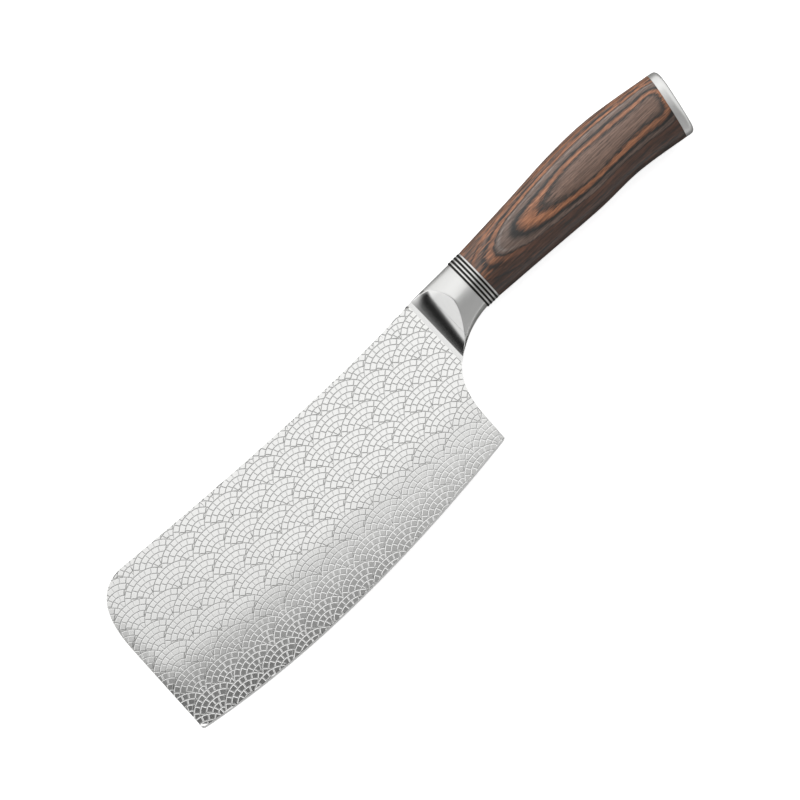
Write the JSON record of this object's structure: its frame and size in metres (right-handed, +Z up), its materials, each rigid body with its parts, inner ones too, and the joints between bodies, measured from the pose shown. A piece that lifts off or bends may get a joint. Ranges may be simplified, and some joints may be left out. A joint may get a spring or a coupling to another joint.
{
  "type": "cleaver",
  "caption": "Kitchen cleaver with a deep bellied blade, hollowed steel bolster, banded neck, laminated wood grip and steel butt cap, for chopping and slicing by hand.",
  "frame": {"origin": "under the middle of the bounding box, on the surface that the knife lies on", "axes": "+X from the blade's front to the butt, +Y from the cutting edge to the spine, +Z up, out of the blade's side"},
  "size_m": [0.3076, 0.0758, 0.0211],
  "materials": {
    "blade_steel": "satin stainless steel with a fine relief",
    "bolster_steel": "satin polished stainless steel",
    "spacer_black": "black fibre or plastic, buffed flush",
    "spacer_steel": "buffed stainless steel",
    "handle_wood": "laminated dyed veneers in brown, charcoal and orange, smooth and slightly glossy",
    "hardware_steel": "zinc-plated steel",
    "cap_steel": "satin brushed stainless steel"
  },
  "bodies": {
    "root": {"blade": "blade_steel", "bolster": "bolster_steel", "black_spacer_1": "spacer_black", "black_spacer_2": "spacer_black", "black_spacer_3": "spacer_black", "black_spacer_4": "spacer_black", "steel_spacer_1": "spacer_steel", "steel_spacer_2": "spacer_steel", "steel_spacer_3": "spacer_steel", "steel_spacer_4": "spacer_steel", "handle": "handle_wood", "tang_rod": "hardware_steel", "tang_washer": "hardware_steel", "tang_nut": "hardware_steel", "end_cap": "cap_steel"}
  },
  "joints": []
}
